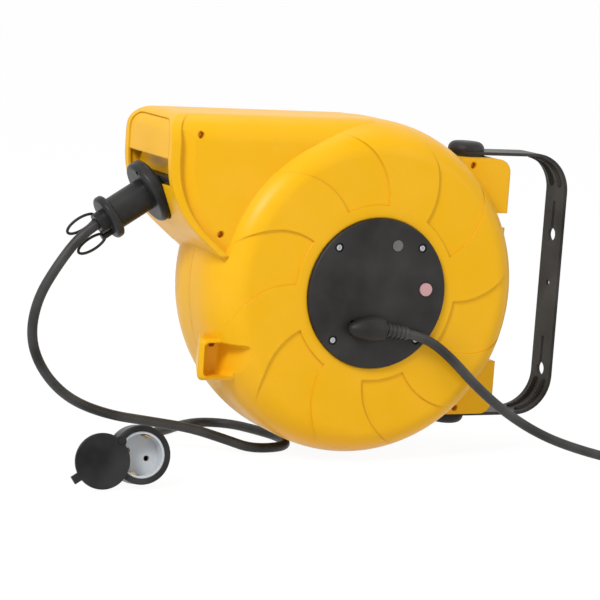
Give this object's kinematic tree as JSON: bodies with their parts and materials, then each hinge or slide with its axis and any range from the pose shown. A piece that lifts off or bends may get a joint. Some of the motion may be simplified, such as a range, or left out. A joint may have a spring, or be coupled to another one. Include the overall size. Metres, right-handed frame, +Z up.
{
  "type": "extension cord reel",
  "caption": "Wall-mounted spring-rewind extension cord reel in a round plastic case, on a swivelling strap bracket, with a cord stopper, a lidded coupling and a supply cord with a plug.",
  "frame": {"origin": "middle of the bracket web's back face, on the wall and midway between the two screw slots", "axes": "+Z up, +X into the wall, -Y towards the side with the round cover"},
  "size_m": [0.7182, 0.2535, 0.3219],
  "materials": {
    "yellow_plastic": "semi-gloss moulded",
    "black_plastic": "satin moulded",
    "cord_rubber": "satin",
    "strap_paint": "semi-gloss dark paint",
    "knob_plastic": "satin moulded",
    "zinc_steel": "zinc plated",
    "dark_steel": "blackened",
    "drum_plastic": "moulded",
    "spring_steel": "blued",
    "brass": "plain",
    "carbon": "dull",
    "grey_plastic": "smooth",
    "lens": "smooth",
    "button": "smooth",
    "bronze": "sintered"
  },
  "bodies": {
    "bracket": {"wall_bracket": "strap_paint", "arm_washers": "black_plastic"},
    "drum": {"slip_rings": "brass", "slip_ring_carrier": "black_plastic", "drum_bushes": "bronze", "drum_hub": "drum_plastic", "drum_front_flange": "drum_plastic", "drum_rear_flange": "drum_plastic", "wound_cable": "cord_rubber", "spring_case": "zinc_steel", "spring_case_lid": "zinc_steel", "main_spring": "spring_steel", "ratchet_ring": "drum_plastic"},
    "pawl": {"pawl": "zinc_steel"},
    "button": {"reset_button": "button"},
    "lid": {"coupling_lid": "black_plastic"},
    "reel": {"axle": "zinc_steel", "axle_screw": "zinc_steel", "brush_holder": "black_plastic", "brushes": "carbon", "contact_sockets": "brass", "cord_boot": "cord_rubber", "cord_guide": "black_plastic", "coupling_body": "black_plastic", "coupling_insert": "grey_plastic", "cover_screws": "dark_steel", "earth_clips": "brass", "front_cover": "black_plastic", "front_shell": "yellow_plastic", "lead_out_cable": "cord_rubber", "lid_pin": "zinc_steel", "mouth_plate": "yellow_plastic", "output_cord": "cord_rubber", "pawl_pin": "zinc_steel", "pawl_spring": "spring_steel", "pilot_lamp": "grey_plastic", "pilot_lens": "lens", "pivot_knobs": "knob_plastic", "pivot_nuts": "zinc_steel", "pivot_studs": "zinc_steel", "plug_body": "black_plastic", "plug_pins": "brass", "pull_loops": "black_plastic", "rear_shell": "yellow_plastic", "shell_screws": "dark_steel", "stopper_front": "black_plastic", "stopper_rear": "black_plastic", "stopper_screws": "dark_steel", "supply_cord": "cord_rubber", "supply_lead": "cord_rubber", "terminal_block": "grey_plastic", "terminal_screws": "zinc_steel", "thermal_breaker": "black_plastic"}
  },
  "joints": [
    {"name": "swivel", "type": "hinge", "parent": "bracket", "child": "reel", "pos_m": [-0.1065, 0, 0], "axis": [0, 0, 1], "range_deg": [-90, 35]},
    {"name": "drum_spin", "type": "hinge", "parent": "reel", "child": "drum", "pos_m": [-0.2275, 0, 0], "axis": [0, 1, 0], "continuous": true},
    {"name": "pawl_pivot", "type": "hinge", "parent": "reel", "child": "pawl", "pos_m": [-0.1925, 0.0333, -0.112], "axis": [0, -1, 0], "range_deg": [0, 12], "stiffness_Nm_per_rad": 0.05},
    {"name": "button_press", "type": "slide", "parent": "reel", "child": "button", "axis": [0, 1, 0], "range_m": [0, 0.0015], "stiffness_N_per_m": 300},
    {"name": "lid_hinge", "type": "hinge", "parent": "reel", "child": "lid", "pos_m": [-0.49384, -0.12561, -0.12044], "axis": [-0.0958, -0.9769, 0.1908], "range_deg": [0, 102]}
  ]
}
